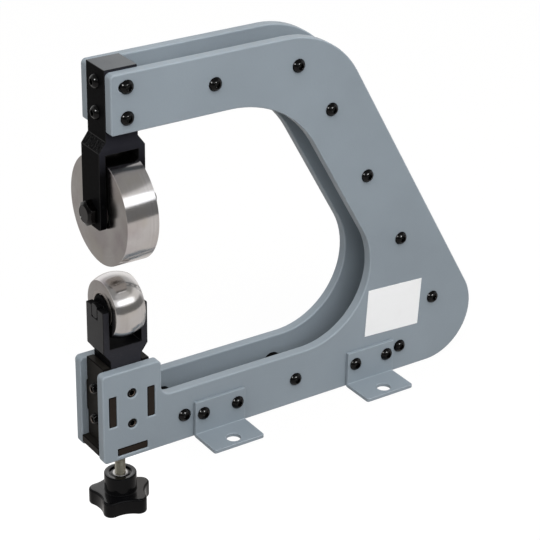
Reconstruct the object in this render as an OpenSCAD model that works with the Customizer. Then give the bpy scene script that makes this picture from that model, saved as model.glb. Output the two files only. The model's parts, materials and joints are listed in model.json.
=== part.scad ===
// Bench-top english wheel: two C-shaped side plates with a fork and wheel above
// and a fork and crowned anvil wheel below, raised by a star knob.
// Millimetres. x runs along the plates to the back, y away from the label side,
// z up. The origin is midway between the four foot bolts, on their underside.

/* [Side plates] */
// thickness of each C-shaped side plate
plate_t = 8; // [7:0.5:9]
// clear distance between the two plates
plate_gap = 25; // [25:0.5:28]
// height of the plates
plate_h = 300; // [294:1:310]
// height of the upper and lower arm
arm_h = 43.5; // [42:0.5:46]
// lean of the rear leg from upright, degrees
rear_lean = 30; // [29.5:0.5:30.5]
// width of the rear leg, square to its edges
leg_w = 56.2; // [54:0.2:58]
// where the sloping back edge would meet the base line
rear_foot_x = 200.5; // [198:0.5:203]
// outer radius at the top of the back
back_top_r = 72; // [65:1:76]
// outer radius at the foot of the back
back_foot_r = 41.5; // [38:0.5:44]
// inner radius at the top of the throat
throat_top_r = 85; // [75:1:90]
// inner radius at the foot of the throat
throat_foot_r = 59; // [54:1:62]
// small radius on the plate corners
corner_r = 3.5; // [2:0.5:4]
// radius on the lower front corner of the upper arm
nose_r = 2; // [1.5:0.5:4]
// radius where the pad meets the lower arm
pad_fillet = 8; // [5:0.5:9]

/* [Head and pad] */
// line of both wheels, forward of the middle of the frame
head_x = -144; // [-146:0.5:-143]
// front end of the upper arm, forward of the line of the wheels
arm_front = 12.5; // [12:0.25:13]
// width of the pad that holds the lower fork
pad_w = 49; // [49:0.5:52]
// height of the pad
pad_h = 73.5; // [73.5:0.5:76]

/* [Forks] */
// width of a fork shank
shank_w = 25.4; // [25:0.1:25.4]
// gap between the legs of a fork
fork_gap = 26; // [26:0.1:27]
// thickness of a fork leg
leg_t = 5.2; // [5:0.1:6.5]
// height of the sloping shoulder between shank and leg
shoulder_rise = 7.5; // [5:0.5:8]
// solid bridge between the foot of the shoulder and the gap
bridge_h = 10; // [9:0.5:11]
// clear height between the upper wheel and its bridge
wheel_clear = 5; // [4:0.5:6]
// how far the upper legs reach past the axle
upper_leg_past = 10.5; // [9:0.5:12]
// how far the upper shank stands above the plates
shank_rise = 1.5; // [0.5:0.5:3]
// clear height between the anvil wheel and its bridge
anvil_clear = 3.5; // [3:0.25:3.5]
// how far the lower legs reach past the axle
lower_leg_past = 3; // [2:0.5:4]
// foot of the lower shank
lower_shank_foot = 16; // [15.5:0.5:18]
// radius on the ends of the upper legs
upper_leg_round = 3; // [1:0.5:4]
// radius on the ends of the lower legs
lower_leg_round = 1; // [0.5:0.5:3]

/* [Upper wheel] */
// diameter of the upper wheel
wheel_d = 81; // [78:0.5:82]
// width of the upper wheel
wheel_w = 25; // [24.6:0.1:25]
// drop of the upper axle below the upper arm
wheel_drop = 62; // [60:0.5:62.5]
// upper axle bolt
wheel_bolt_d = 10; // [10:0.5:10.5]

/* [Anvil wheel] */
// diameter of the anvil wheel at its crown
anvil_d = 48.5; // [47:0.5:49]
// width of the anvil wheel
anvil_w = 24; // [23:0.1:24.4]
// radius of the crowned tread
crown_r = 25; // [20:0.5:60]
// height of the anvil axle, as photographed
anvil_z = 117; // [116.5:0.25:117.5]
// anvil axle
anvil_axle_d = 12; // [12:0.25:12.5]
// width across the flats at the axle ends
axle_flat = 8; // [7:0.25:8.5]

/* [Guides and lift] */
// thickness of the guide plates and of the base plate
guide_t = 6; // [5:0.5:6]
// length of every guide tab
tab_len = 25; // [22:0.5:26]
// middle of the upright tabs
tab_z = 42; // [41:0.5:44]
// how deep the tabs lie in their slots
tab_recess = 0.5; // [0.25:0.25:2]
// top of the guide plates
guide_top = 74.5; // [74:0.25:75]
// underside of the base plate
base_z = 3.5; // [3:0.25:4]
// thread of the lift screw
lift_d = 8; // [8:0.5:10]
// exposed screw between the plates and the knob hub
lift_reach = 24.5; // [20:0.5:30]

/* [Knob] */
// diameter over the lobes
knob_d = 48; // [46:1:56]
// radius of each lobe
lobe_r = 6; // [5:0.25:6.5]
// distance from the axis to the bottom of a valley
valley_r = 18.5; // [17.5:0.25:18.75]
// height of the lobed part
star_h = 12.5; // [10:0.5:15]
// diameter of the hub
hub_d = 24.5; // [23:0.5:27]
// height of the hub above the lobes
hub_h = 14.6; // [12:0.2:18]
// diameter of the metal insert
insert_d = 11.5; // [11.5:0.25:13]

/* [Feet] */
// length of each angle foot
foot_len = 44; // [42:1:48]
// height and reach of each foot
foot_leg = 30; // [28:0.5:32]
// thickness of the feet
foot_t = 3; // [2.5:0.25:3]
// radius on the free corners of the feet
foot_corner_r = 2; // [1:0.5:4]
// distance of the feet from the middle, along the plates
foot_x = 70; // [68:1:74]
// bolt hole in each foot
foot_hole_d = 11; // [9:0.5:11]
// distance of the bolt hole from the plate
foot_hole_y = 21; // [19:0.5:21.5]

/* [Screws] */
// diameter of the screws
screw_d = 6; // [6:0.5:6.5]
// diameter of the round screw heads
screw_head_d = 10.5; // [10:0.25:11]
// height of the round screw heads
screw_head_h = 3.3; // [3:0.1:3.6]
// diameter of the sleeves between the plates
sleeve_d = 16; // [14:0.5:18]
// diameter of the clamp screws in the pad
clamp_d = 7.5; // [7:0.25:8]

/* [Hidden] */
$fn = 96;
slide_gap = 0.3;
run_gap = 0.05;
tab_gap = 0.1;
screw_gap = 0.3;
through = 1;
// blend circles overrun by this much, so that they cross the edges they meet
overrun = 0.005;
inner_y = plate_gap / 2;
outer_y = inner_y + plate_t;
head_end_x = head_x - arm_front;
pad_x0 = head_x - pad_w / 2;
pad_x1 = head_x + pad_w / 2;
throat_top = plate_h - arm_h;
lean_tan = tan(rear_lean);
in_foot_x = rear_foot_x - leg_w / cos(rear_lean);

// outline of a side plate, sharp at every corner, once round from the front foot
outline = [
  [pad_x0, 0], [rear_foot_x, 0], [rear_foot_x - plate_h * lean_tan, plate_h],
  [head_end_x, plate_h], [head_end_x, throat_top],
  [in_foot_x - throat_top * lean_tan, throat_top], [in_foot_x - arm_h * lean_tan, arm_h],
  [pad_x1, arm_h], [pad_x1, pad_h], [pad_x0, pad_h]
];
// radius of each outer corner, by its place in the outline
outer_corners = [
  [0, corner_r], [1, back_foot_r], [2, back_top_r], [3, corner_r], [4, nose_r],
  [8, corner_r], [9, corner_r]
];
// the same for the inner corners
inner_corners = [[5, throat_top_r], [6, throat_foot_r], [7, pad_fillet]];

// screws through the sleeves: along the arms, then down the sloping leg
arm_screw_z = arm_h / 2 - 0.5;
row_in = 32;
row_step = 70;
row_drop = 61.2;
row_top_z = plate_h - row_drop;
row_x = rear_foot_x - row_in / cos(rear_lean);
function row(i) = let(z = row_top_z - i * row_step * cos(rear_lean)) [row_x - z * lean_tan, z];
sleeve_spots = [
  [-74.2, throat_top + arm_h / 2], [-4.6, throat_top + arm_h / 2],
  row(0), row(1), row(2), row(3),
  [100, arm_screw_z], [0, arm_screw_z], [-100, arm_screw_z]
];
head_screw_drop = 21;
head_screw_z = plate_h - head_screw_drop;
head_screw_pitch = 22.5;
head_screws = [head_screw_z + head_screw_pitch / 2, head_screw_z - head_screw_pitch / 2];
align_slot = 2.8;
clamp_zs = [53.5, 28];
clamp_sunk = 0.4;
guide_screw_out = 3.5;
set_socket = 3;
screw_grip = 8;
foot_screw_pitch = 30;
foot_screw_z = 19.5;
foot_spots = [-foot_x, foot_x];

// fork sizes shared by both forks
fork_w = fork_gap + 2 * leg_t;
wheel_z = throat_top - wheel_drop;
upper_shoulder = wheel_z + wheel_d / 2 + wheel_clear + bridge_h;
upper_leg_end = wheel_z - upper_leg_past;
lower_shoulder = anvil_z - anvil_d / 2 - anvil_clear - bridge_h;
lower_leg_end = anvil_z + lower_leg_past;
lower_depth = plate_gap - 2 * slide_gap;
guide_in = shank_w / 2 + slide_gap;
guide_mid = guide_in + guide_t / 2;

// bearings: bore, outside and width of each, and the balls between the rings
bearing_w = 8;
upper_bearing_d = 26;
lower_bearing_d = 28;
ring_wall = 2.6;
tube_wall = 2;
ball_count = 8;
web_hole = 3;

// hexagon bolt, washer and nut on the upper axle
bolt_af = 17;
bolt_head_h = 6.4;
bolt_washer_d = 20;
bolt_washer_t = 2;
bolt_nut_h = 8;
bolt_end = 3.6;
collar_d = 21;
collar_step = 0.4;

// lift screw and knob heights, as photographed
hub_top = -lift_reach;
star_top = hub_top - hub_h;
star_foot = star_top - star_h;
lift_socket = 14;
insert_h = 12;
hub_dish = 0.8;
hub_dish_d = 17;
lobes = 5;
lobe_turn = 1.3;
lobe_at = knob_d / 2 - lobe_r;
half_step = 180 / lobes;
valley_num = lobe_r * lobe_r - lobe_at * lobe_at - valley_r * valley_r
  + 2 * lobe_at * valley_r * cos(half_step);
valley_cut_r = valley_num / (2 * (valley_r - lobe_at * cos(half_step) - lobe_r));
valley_at = valley_r + valley_cut_r;

// label
label_w = 52;
label_h = 40;
label_t = 0.2;
label_x = 92;
label_z = 58;
label_tilt = 2.7;

plate_grey = [0.49, 0.53, 0.56];
satin_black = [0.07, 0.07, 0.075];
tab_black = [0.10, 0.085, 0.08];
steel = [0.68, 0.68, 0.68];
screw_black = [0.03, 0.03, 0.035];
knob_black = [0.04, 0.04, 0.045];
label_white = [0.93, 0.93, 0.93];

// round bar along y, from y0 to y1
module rod_y(x, z, y0, y1, d) {
  translate([x, y0, z])
    rotate([-90, 0, 0])
      cylinder(d = d, h = y1 - y0);
}

// round bar along x, from x0 to x1
module rod_x(x0, x1, z, d) {
  translate([x0, 0, z])
    rotate([0, 90, 0])
      cylinder(d = d, h = x1 - x0);
}

// flat shape given in x and z, standing from y0 to y1
module slab(points, y0, y1) {
  translate([0, y1, 0])
    rotate([90, 0, 0])
      linear_extrude(height = y1 - y0)
        polygon(points);
}

// box between two corners
module box(low, high) {
  translate(low)
    cube(high - low);
}

// direction from one point to another
function toward(from, to) = (to - from) / norm(to - from);

// what lies between corner c and the circle that rounds it; a and b are its neighbours
module corner_piece(a, c, b, r, y0, y1) {
  u = toward(c, a);
  v = toward(c, b);
  half = acos(u * v) / 2;
  mid = c + (u + v) / norm(u + v) * r / sin(half);
  touch_a = c + u * r / tan(half);
  touch_b = c + v * r / tan(half);
  difference() {
    slab([
      mid, touch_a + toward(mid, touch_a), c + toward(mid, c) / sin(half),
      touch_b + toward(mid, touch_b)
    ], y0, y1);
    rod_y(mid[0], mid[1], y0 - through, y1 + through, 2 * (r + overrun));
  }
}

// one corner of the plate outline, by its place and radius
module outline_corner(place, r, y0, y1) {
  count = len(outline);
  corner_piece(outline[(place + count - 1) % count], outline[place],
    outline[(place + 1) % count], r, y0, y1);
}

// head, shank and hexagon socket of a round-headed screw, head down at z = 0
module button_screw(d, head_d, head_h, length) {
  edge = head_h * 0.12;
  top_r = head_d * 0.25;
  drop = (head_d * head_d / 4 + edge * edge - top_r * top_r - head_h * head_h)
    / (2 * (head_h - edge));
  dome_r = sqrt(head_d * head_d / 4 + (edge + drop) * (edge + drop));
  difference() {
    union() {
      intersection() {
        cylinder(d = head_d, h = head_h);
        translate([0, 0, -drop])
          sphere(r = dome_r);
      }
      translate([0, 0, -length])
        cylinder(d = d, h = length + head_h / 2);
    }
    translate([0, 0, head_h * 0.4])
      cylinder(r = head_d * 0.2, h = head_h, $fn = 6);
  }
}

// round-headed screws in a plate, heads on the label side or on the far side
module plate_screw(x, z, y, length, side) {
  translate([x, side * y, z])
    rotate([side < 0 ? 90 : -90, 0, 0])
      button_screw(screw_d, screw_head_d, screw_head_h, length);
}

module side_plate(side) {
  y0 = side < 0 ? -outer_y : inner_y;
  y1 = y0 + plate_t;
  difference() {
    union() {
      slab(outline, y0, y1);
      for (c = inner_corners)
        outline_corner(c[0], c[1], y0, y1);
    }
    for (c = outer_corners)
      outline_corner(c[0], c[1], y0 - through, y1 + through);
    // holes for the sleeve screws
    for (p = sleeve_spots)
      rod_y(p[0], p[1], y0 - through, y1 + through, screw_d + 2 * screw_gap);
    // the lower head screw in a round hole, the upper one at the back end of a slot
    rod_y(head_x, head_screws[1], y0 - through, y1 + through, screw_d + 2 * screw_gap);
    for (dx = [-align_slot, 0])
      rod_y(head_x + dx, head_screws[0], y0 - through, y1 + through,
        screw_d + 2 * screw_gap);
    box([head_x - align_slot, y0 - through, head_screws[0] - screw_d / 2 - screw_gap],
      [head_x, y1 + through, head_screws[0] + screw_d / 2 + screw_gap]);
    // threaded holes for the clamp screws and the feet
    for (z = clamp_zs)
      rod_y(head_x, z, y0 - through, y1 + through, clamp_d);
    for (x = foot_spots, dx = [-foot_screw_pitch / 2, foot_screw_pitch / 2])
      rod_y(x + dx, foot_screw_z, y0 - through, y1 + through, screw_d);
    // slots for the guide tabs
    for (dx = [-guide_mid, guide_mid])
      box([head_x + dx - guide_t / 2 - tab_gap, y0 - through, tab_z - tab_len / 2 - tab_gap],
        [head_x + dx + guide_t / 2 + tab_gap, y1 + through, tab_z + tab_len / 2 + tab_gap]);
    box([head_x - tab_len / 2 - tab_gap, y0 - through, base_z - tab_gap],
      [head_x + tab_len / 2 + tab_gap, y1 + through, base_z + guide_t + tab_gap]);
  }
}

module plate_near() {
  color(plate_grey)
    side_plate(-1);
}

module plate_far() {
  color(plate_grey)
    side_plate(1);
}

// tapped sleeves that hold the plates apart
module sleeves() {
  color(satin_black)
    for (p = sleeve_spots)
      difference() {
        rod_y(p[0], p[1], -inner_y, inner_y, sleeve_d);
        rod_y(p[0], p[1], -inner_y - through, inner_y + through, screw_d);
      }
}

module frame_screws_near() {
  color(screw_black)
    for (p = sleeve_spots)
      plate_screw(p[0], p[1], outer_y, plate_t + screw_grip, -1);
}

module frame_screws_far() {
  color(screw_black)
    for (p = sleeve_spots)
      plate_screw(p[0], p[1], outer_y, plate_t + screw_grip, 1);
}

// fork outline standing on its shank: u across, v up from the shank's foot
function fork_outline(foot, shoulder, tip) =
  let(s = tip > foot ? 1 : -1, a = shank_w / 2, b = fork_w / 2, c = fork_gap / 2)
  [
    [-a, foot], [a, foot], [a, shoulder], [b, shoulder + s * shoulder_rise], [b, tip],
    [c, tip], [c, shoulder + s * bridge_h], [-c, shoulder + s * bridge_h], [-c, tip],
    [-b, tip], [-b, shoulder + s * shoulder_rise], [-a, shoulder]
  ];

// rounds both corners of the leg ends, seen from the side
module leg_end_waste(tip, depth, r, s) {
  for (side = [-1, 1])
    translate([head_x - fork_w, 0, 0])
      difference() {
        box([0, side > 0 ? depth / 2 - r : -depth / 2 - through,
            s > 0 ? tip - r : tip - through],
          [2 * fork_w, side > 0 ? depth / 2 + through : -depth / 2 + r,
            s > 0 ? tip + through : tip + r]);
        translate([-through, side * (depth / 2 - r), tip - s * r])
          rotate([0, 90, 0])
            cylinder(r = r, h = 2 * (fork_w + through));
      }
}

module upper_fork() {
  shank_top = plate_h + shank_rise;
  color(satin_black)
    difference() {
      translate([head_x, 0, 0])
        slab(fork_outline(shank_top, upper_shoulder, upper_leg_end), -inner_y, inner_y);
      leg_end_waste(upper_leg_end, plate_gap, upper_leg_round, -1);
      rod_x(head_x - fork_w, head_x + fork_w, wheel_z, wheel_bolt_d);
      // tapped holes for the side and front screws
      for (z = head_screws) {
        rod_y(head_x, z, -inner_y - through, -inner_y + screw_grip, screw_d);
        rod_y(head_x, z, inner_y - screw_grip, inner_y + through, screw_d);
        rod_x(head_x - shank_w / 2 - through, head_x - shank_w / 2 + screw_grip, z, screw_d);
      }
    }
}

module head_screws_near() {
  color(screw_black)
    for (z = head_screws)
      plate_screw(head_x, z, outer_y, plate_t + screw_grip, -1);
}

module head_screws_far() {
  color(screw_black)
    for (z = head_screws)
      plate_screw(head_x, z, outer_y, plate_t + screw_grip, 1);
}

// screws in the front face of the upper shank
module front_screws() {
  color(screw_black)
    for (z = head_screws)
      translate([head_x - shank_w / 2, 0, z])
        rotate([0, -90, 0])
          button_screw(screw_d, screw_head_d, screw_head_h, screw_grip);
}

// ring along x, from x0 to x1
module ring_x(x0, x1, z, outer, inner) {
  difference() {
    rod_x(x0, x1, z, outer);
    rod_x(x0 - through, x1 + through, z, inner);
  }
}

// groove that the balls of one bearing run in
module ball_groove(x, z, pitch_r, r) {
  translate([x, 0, z])
    rotate([0, 90, 0])
      rotate_extrude()
        translate([pitch_r, 0])
          circle(r = r);
}

// middle planes of the two bearings of a wheel
function bearing_xs(w) = [head_x - w / 2 + bearing_w / 2, head_x + w / 2 - bearing_w / 2];
// radius of the ball circle, and ball size, for a bore and an outside
function pitch_r(bore, outer) = (bore + outer) / 4;
function ball_r(bore, outer) = (outer - bore) / 4 - ring_wall + 1;

module outer_rings(w, z, bore, outer) {
  for (x = bearing_xs(w))
    difference() {
      ring_x(x - bearing_w / 2, x + bearing_w / 2, z, outer, outer - 2 * ring_wall);
      ball_groove(x, z, pitch_r(bore, outer), ball_r(bore, outer) + run_gap);
    }
}

// inner rings and the tube that keeps them apart
module inner_rings(w, z, bore, outer) {
  for (x = bearing_xs(w))
    difference() {
      ring_x(x - bearing_w / 2, x + bearing_w / 2, z, bore + 2 * ring_wall, bore);
      ball_groove(x, z, pitch_r(bore, outer), ball_r(bore, outer) + run_gap);
    }
  ring_x(head_x - w / 2 + bearing_w, head_x + w / 2 - bearing_w, z, bore + 2 * tube_wall,
    bore);
}

module ball_sets(w, z, bore, outer) {
  for (x = bearing_xs(w), i = [0:ball_count - 1])
    translate([x, pitch_r(bore, outer) * sin(i * 360 / ball_count),
        z + pitch_r(bore, outer) * cos(i * 360 / ball_count)])
      sphere(r = ball_r(bore, outer), $fn = 32);
}

// cuts the bearing seats and the web hole from a wheel
module bearing_seats(w, z, outer) {
  rod_x(head_x - w / 2 - through, head_x - w / 2 + bearing_w, z, outer);
  rod_x(head_x + w / 2 - bearing_w, head_x + w / 2 + through, z, outer);
  rod_x(head_x - w / 2, head_x + w / 2, z, outer - 2 * web_hole);
}

module upper_wheel() {
  rim = 0.6;
  color(steel)
    difference() {
      union() {
        rod_x(head_x - wheel_w / 2 + rim, head_x + wheel_w / 2 - rim, wheel_z, wheel_d);
        translate([head_x - wheel_w / 2, 0, wheel_z])
          rotate([0, 90, 0])
            cylinder(d1 = wheel_d - 2 * rim, d2 = wheel_d, h = rim);
        translate([head_x + wheel_w / 2 - rim, 0, wheel_z])
          rotate([0, 90, 0])
            cylinder(d1 = wheel_d, d2 = wheel_d - 2 * rim, h = rim);
      }
      bearing_seats(wheel_w, wheel_z, upper_bearing_d);
    }
}

module upper_bearing_outers() {
  color(steel)
    outer_rings(wheel_w, wheel_z, wheel_bolt_d, upper_bearing_d);
}

module upper_bearing_inners() {
  color(steel)
    inner_rings(wheel_w, wheel_z, wheel_bolt_d, upper_bearing_d);
}

module upper_bearing_balls() {
  color(steel)
    ball_sets(wheel_w, wheel_z, wheel_bolt_d, upper_bearing_d);
}

// thin washers between the legs and the inner rings
module upper_shims() {
  color(steel)
    for (side = [-1, 1]) {
      x = side < 0 ? head_x - fork_gap / 2 : head_x + wheel_w / 2;
      ring_x(x, x + (fork_gap - wheel_w) / 2, wheel_z, wheel_bolt_d + 2 * ring_wall,
        wheel_bolt_d);
    }
}

// hexagon from z = 0 up, its corners turned back at 30 degrees at the top
module hexagon(across, h) {
  face_d = 0.9 * across;
  intersection() {
    cylinder(d = across / cos(30), h = h, $fn = 6);
    cylinder(d1 = face_d + 2 * h / tan(30), d2 = face_d, h = h);
  }
}

// head against the front leg, thread out past the rear one
module upper_axle_bolt() {
  length = fork_w + bolt_washer_t + bolt_nut_h + bolt_end;
  color(screw_black)
    translate([head_x - fork_w / 2, 0, wheel_z])
      rotate([0, -90, 0]) {
        hexagon(bolt_af, bolt_head_h);
        translate([0, 0, -length])
          cylinder(d = wheel_bolt_d, h = length + bolt_head_h / 2);
      }
}

module upper_axle_washer() {
  x0 = head_x + fork_w / 2;
  color(screw_black)
    ring_x(x0, x0 + bolt_washer_t, wheel_z, bolt_washer_d, wheel_bolt_d);
}

module upper_axle_nut() {
  x0 = head_x + fork_w / 2 + bolt_washer_t;
  color(screw_black)
    difference() {
      translate([x0, 0, wheel_z])
        rotate([0, 90, 0])
          hexagon(bolt_af, bolt_nut_h);
      rod_x(x0 - through, x0 + bolt_nut_h + through, wheel_z, wheel_bolt_d);
    }
}

module lower_fork() {
  slot_w = axle_flat + 2 * slide_gap;
  slot_foot = anvil_z - anvil_axle_d / 2;
  color(satin_black)
    difference() {
      translate([head_x, 0, 0])
        slab(fork_outline(lower_shank_foot, lower_shoulder, lower_leg_end),
          -lower_depth / 2, lower_depth / 2);
      leg_end_waste(lower_leg_end, lower_depth, lower_leg_round, 1);
      // open slots that the flattened axle ends drop into
      box([head_x - fork_w, -slot_w / 2, slot_foot],
        [head_x + fork_w, slot_w / 2, lower_leg_end + through]);
      // blind socket for the tip of the lift screw
      translate([head_x, 0, lower_shank_foot - through])
        cylinder(d = lift_d + 2 * run_gap, h = lift_socket + through);
    }
}

// crowned tread turned about the axle, with flat faces
module anvil_wheel() {
  half = anvil_w / 2;
  color(steel)
    difference() {
      intersection() {
        translate([head_x, 0, anvil_z])
          rotate([0, 90, 0])
            rotate_extrude()
              intersection() {
                translate([anvil_d / 2 - crown_r, 0])
                  circle(r = crown_r);
                translate([0, -half])
                  square([anvil_d, anvil_w]);
              }
        rod_x(head_x - half, head_x + half, anvil_z, anvil_d + 2);
      }
      bearing_seats(anvil_w, anvil_z, lower_bearing_d);
    }
}

module lower_bearing_outers() {
  color(steel)
    outer_rings(anvil_w, anvil_z, anvil_axle_d, lower_bearing_d);
}

module lower_bearing_inners() {
  color(steel)
    inner_rings(anvil_w, anvil_z, anvil_axle_d, lower_bearing_d);
}

module lower_bearing_balls() {
  color(steel)
    ball_sets(anvil_w, anvil_z, anvil_axle_d, lower_bearing_d);
}

// axle with flattened ends, dropped into the open slots
module anvil_axle() {
  color(satin_black)
    intersection() {
      rod_x(head_x - fork_w / 2, head_x + fork_w / 2, anvil_z, anvil_axle_d);
      union() {
        box([head_x - fork_w, -axle_flat / 2, anvil_z - anvil_axle_d],
          [head_x + fork_w, axle_flat / 2, anvil_z + anvil_axle_d]);
        box([head_x - fork_gap / 2, -anvil_axle_d, anvil_z - anvil_axle_d],
          [head_x + fork_gap / 2, anvil_axle_d, anvil_z + anvil_axle_d]);
      }
    }
}

// collars between the lower legs and the anvil bearings
module anvil_collars() {
  wide = (fork_gap - anvil_w) / 2;
  color(satin_black)
    for (side = [-1, 1])
      difference() {
        union() {
          rod_x(side < 0 ? head_x - fork_gap / 2 : head_x + anvil_w / 2 + collar_step,
            side < 0 ? head_x - anvil_w / 2 - collar_step : head_x + fork_gap / 2,
            anvil_z, collar_d);
          rod_x(side < 0 ? head_x - fork_gap / 2 : head_x + anvil_w / 2,
            side < 0 ? head_x - anvil_w / 2 : head_x + fork_gap / 2,
            anvil_z, anvil_axle_d + 2 * ring_wall - 1);
        }
        rod_x(head_x + side * (fork_gap + anvil_w) / 4 - wide, head_x
          + side * (fork_gap + anvil_w) / 4 + wide, anvil_z, anvil_axle_d);
      }
}

// one upright guide plate with a tab into each side plate
module guide(dx) {
  box([head_x + dx - guide_t / 2, -inner_y, base_z + guide_t],
    [head_x + dx + guide_t / 2, inner_y, guide_top]);
  box([head_x + dx - guide_t / 2, -outer_y + tab_recess, tab_z - tab_len / 2],
    [head_x + dx + guide_t / 2, outer_y - tab_recess, tab_z + tab_len / 2]);
}

module guide_front() {
  color(tab_black)
    difference() {
      guide(-guide_mid);
      for (z = clamp_zs)
        rod_x(head_x - guide_mid - guide_t, head_x - guide_mid + guide_t, z, clamp_d);
    }
}

module guide_rear() {
  color(tab_black)
    guide(guide_mid);
}

// base plate that carries the lift screw
module base_plate() {
  color(tab_black)
    difference() {
      union() {
        box([pad_x0, -inner_y, base_z], [pad_x1, inner_y, base_z + guide_t]);
        box([head_x - tab_len / 2, -outer_y + tab_recess, base_z],
          [head_x + tab_len / 2, outer_y - tab_recess, base_z + guide_t]);
      }
      translate([head_x, 0, base_z - through])
        cylinder(d = lift_d + 2 * run_gap, h = guide_t + 2 * through);
    }
}

// socket set screw from z = 0 up, its hexagon socket at z = 0
module set_screw(length) {
  difference() {
    cylinder(d = clamp_d, h = length);
    translate([0, 0, -through])
      cylinder(d = clamp_d * 0.55, h = set_socket + through, $fn = 6);
  }
}

// set screws in the front guide plate, standing out of it, towards the lower shank
module guide_screws() {
  color(screw_black)
    for (z = clamp_zs)
      translate([head_x - guide_in - guide_t - guide_screw_out, 0, z])
        rotate([0, 90, 0])
          set_screw(guide_t + guide_screw_out);
}

// set screws in the pad, just below the face of the plate
module clamp_screws(side) {
  for (z = clamp_zs)
    translate([head_x, side * (outer_y - clamp_sunk), z])
      rotate([side < 0 ? -90 : 90, 0, 0])
        set_screw(plate_t - clamp_sunk);
}

module clamp_screws_near() {
  color(screw_black)
    clamp_screws(-1);
}

module clamp_screws_far() {
  color(screw_black)
    clamp_screws(1);
}

module lift_screw() {
  foot = hub_top - hub_dish - insert_h;
  color(steel)
    translate([head_x, 0, foot])
      cylinder(d = lift_d, h = lower_shank_foot + lift_socket - foot);
}

// lobe centres and valley cutters, taken in turn around the knob
function star_point(i) = let(a = lobe_turn + i * half_step, r = i % 2 == 0 ? lobe_at : valley_at)
  [r * cos(a), r * sin(a)];

module knob() {
  color(knob_black)
    translate([head_x, 0, 0])
      difference() {
        union() {
          translate([0, 0, star_foot])
            linear_extrude(height = star_h)
              polygon([for (i = [0:2 * lobes - 1]) star_point(i)]);
          for (i = [0:lobes - 1])
            translate([star_point(2 * i)[0], star_point(2 * i)[1], star_foot])
              cylinder(r = lobe_r, h = star_h);
          translate([0, 0, star_foot])
            cylinder(d = hub_d, h = hub_top - star_foot);
        }
        for (i = [0:lobes - 1])
          translate([star_point(2 * i + 1)[0], star_point(2 * i + 1)[1], star_foot - through])
            cylinder(r = valley_cut_r + overrun, h = star_h + 2 * through);
        // dished top face and the pocket of the insert
        translate([0, 0, hub_top - hub_dish])
          cylinder(d = hub_dish_d, h = hub_dish + through);
        translate([0, 0, hub_top - hub_dish - insert_h])
          cylinder(d = insert_d, h = insert_h + through);
      }
}

module knob_insert() {
  color(steel)
    translate([head_x, 0, hub_top - hub_dish - insert_h])
      difference() {
        cylinder(d = insert_d, h = insert_h + hub_dish / 2);
        translate([0, 0, -through])
          cylinder(d = lift_d, h = insert_h + 2 * through);
      }
}

// angle foot: side -1 on the label side, 1 on the far side
module foot(x, side) {
  y = outer_y;
  bend = foot_t;
  r = foot_corner_r;
  mirror([0, side < 0 ? 0 : 1, 0])
    difference() {
      union() {
        box([x - foot_len / 2, -y - foot_t, 0], [x + foot_len / 2, -y, foot_leg]);
        box([x - foot_len / 2, -y - foot_leg, 0], [x + foot_len / 2, -y, foot_t]);
      }
      // rounded outside of the bend
      difference() {
        box([x - foot_len, -y - bend, -1], [x + foot_len, -y + 1, bend]);
        translate([x - foot_len - 1, -y - bend, bend])
          rotate([0, 90, 0])
            cylinder(r = bend, h = 2 * foot_len + 2);
      }
      // rounded free corners of the flange
      for (s = [-1, 1])
        translate([x + s * (foot_len / 2 - r), -y - foot_leg + r, -through])
          difference() {
            translate([s < 0 ? -r - through : 0, -r - through, 0])
              cube([r + through, r + through, foot_t + 2 * through]);
            translate([0, 0, -through])
              cylinder(r = r, h = foot_t + 4 * through);
          }
      translate([x, -y - foot_hole_y, -through])
        cylinder(d = foot_hole_d, h = foot_t + 2 * through);
      for (dx = [-foot_screw_pitch / 2, foot_screw_pitch / 2])
        rod_y(x + dx, foot_screw_z, -y - foot_t - through, -y + through,
          screw_d + 2 * screw_gap);
    }
}

module foot_near_front() {
  color(plate_grey)
    foot(-foot_x, -1);
}

module foot_near_rear() {
  color(plate_grey)
    foot(foot_x, -1);
}

module foot_far_front() {
  color(plate_grey)
    foot(-foot_x, 1);
}

module foot_far_rear() {
  color(plate_grey)
    foot(foot_x, 1);
}

module foot_screws(side) {
  for (x = foot_spots, dx = [-foot_screw_pitch / 2, foot_screw_pitch / 2])
    plate_screw(x + dx, foot_screw_z, outer_y + foot_t, foot_t + plate_t, side);
}

module foot_screws_near() {
  color(screw_black)
    foot_screws(-1);
}

module foot_screws_far() {
  color(screw_black)
    foot_screws(1);
}

// plain white label, a little askew as photographed
module blank_label() {
  color(label_white)
    translate([label_x, -outer_y - label_t, label_z])
      rotate([0, label_tilt, 0])
        translate([-label_w / 2, 0, -label_h / 2])
          cube([label_w, label_t, label_h]);
}

plate_near();
plate_far();
sleeves();
frame_screws_near();
frame_screws_far();
upper_fork();
head_screws_near();
head_screws_far();
front_screws();
upper_wheel();
upper_bearing_outers();
upper_bearing_inners();
upper_bearing_balls();
upper_shims();
upper_axle_bolt();
upper_axle_washer();
upper_axle_nut();
lower_fork();
anvil_wheel();
lower_bearing_outers();
lower_bearing_inners();
lower_bearing_balls();
anvil_axle();
anvil_collars();
guide_front();
guide_rear();
base_plate();
guide_screws();
clamp_screws_near();
clamp_screws_far();
lift_screw();
knob();
knob_insert();
foot_near_front();
foot_near_rear();
foot_far_front();
foot_far_rear();
foot_screws_near();
foot_screws_far();
blank_label();
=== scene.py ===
# %% [markdown]
# # A small bench english wheel
# An english wheel rolls sheet metal between a flat upper wheel and a crowned lower one.
# The CAD model already holds every size and every joint. This file gives each part the
# rounded edges, threads and finish of the real one, and lights it in a plain pale studio.

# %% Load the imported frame
import json
import math

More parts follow.
